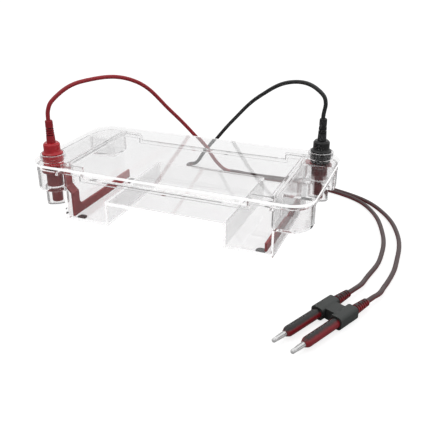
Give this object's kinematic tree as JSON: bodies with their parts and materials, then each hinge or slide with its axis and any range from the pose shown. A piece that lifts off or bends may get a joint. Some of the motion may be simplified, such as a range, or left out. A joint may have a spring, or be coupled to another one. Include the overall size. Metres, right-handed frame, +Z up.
{
  "type": "gel electrophoresis tank",
  "caption": "Clear horizontal buffer tank with a raised gel deck, a flat lift-off lid, red and black plug-in leads, electrode arms with platinum wires and a paired banana power plug.",
  "frame": {"origin": "middle of the gel deck's flat top face, 30 mm above the table, over the centre of the four feet", "axes": "+X along the tank's length towards the black electrode, +Y towards its back, +Z up"},
  "size_m": [0.4003, 0.3585, 0.1529],
  "materials": {
    "clear_acrylic": "clear moulded acrylic, polished",
    "foot_rubber": "matt black rubber",
    "maroon_plastic": "dark red moulded plastic",
    "dark_electrode_plastic": "near-black moulded plastic",
    "red_plastic": "red moulded plastic",
    "black_plastic": "black moulded plastic",
    "grey_plastic": "dark grey moulded plastic, fine texture",
    "red_cable": "red silicone lead sleeve",
    "black_cable": "black silicone lead sleeve",
    "gold_plate": "gold-plated contact pin",
    "nickel_plate": "bright nickel plate",
    "platinum": "bare platinum wire"
  },
  "bodies": {
    "tank": {"tank_base": "clear_acrylic", "foot_front_left": "foot_rubber", "foot_front_right": "foot_rubber", "foot_back_right": "foot_rubber", "foot_back_left": "foot_rubber", "red_electrode_arm": "maroon_plastic", "red_platinum_wire": "platinum", "red_socket_holder": "maroon_plastic", "red_contact_pin": "gold_plate", "red_pin_nut": "nickel_plate", "black_electrode_arm": "dark_electrode_plastic", "black_platinum_wire": "platinum", "black_socket_holder": "dark_electrode_plastic", "black_contact_pin": "gold_plate", "black_pin_nut": "nickel_plate", "red_lead": "red_cable", "black_lead": "black_cable"},
    "lid": {"lid_shell": "clear_acrylic", "red_collar": "red_plastic", "red_plug_body": "red_plastic", "red_boot": "red_plastic", "red_socket_sleeve": "nickel_plate", "red_lock_nut": "red_plastic", "black_collar": "black_plastic", "black_plug_body": "black_plastic", "black_boot": "black_plastic", "black_socket_sleeve": "nickel_plate", "black_lock_nut": "black_plastic"},
    "power_plug": {"plug_block": "grey_plastic", "red_banana_grip": "red_plastic", "red_banana_pin": "nickel_plate", "red_banana_cage": "nickel_plate", "black_banana_grip": "black_plastic", "black_banana_pin": "nickel_plate", "black_banana_cage": "nickel_plate"}
  },
  "joints": [
    {"name": "lid_lift", "type": "slide", "parent": "tank", "child": "lid", "axis": [0, 0, 1], "range_m": [0, 0.05], "deforming": ["red_lead", "black_lead"]},
    {"name": "power_plug_pull", "type": "slide", "parent": "tank", "child": "power_plug", "axis": [-0.4179, -0.9085, 0], "range_m": [-0.01, 0.03]}
  ]
}
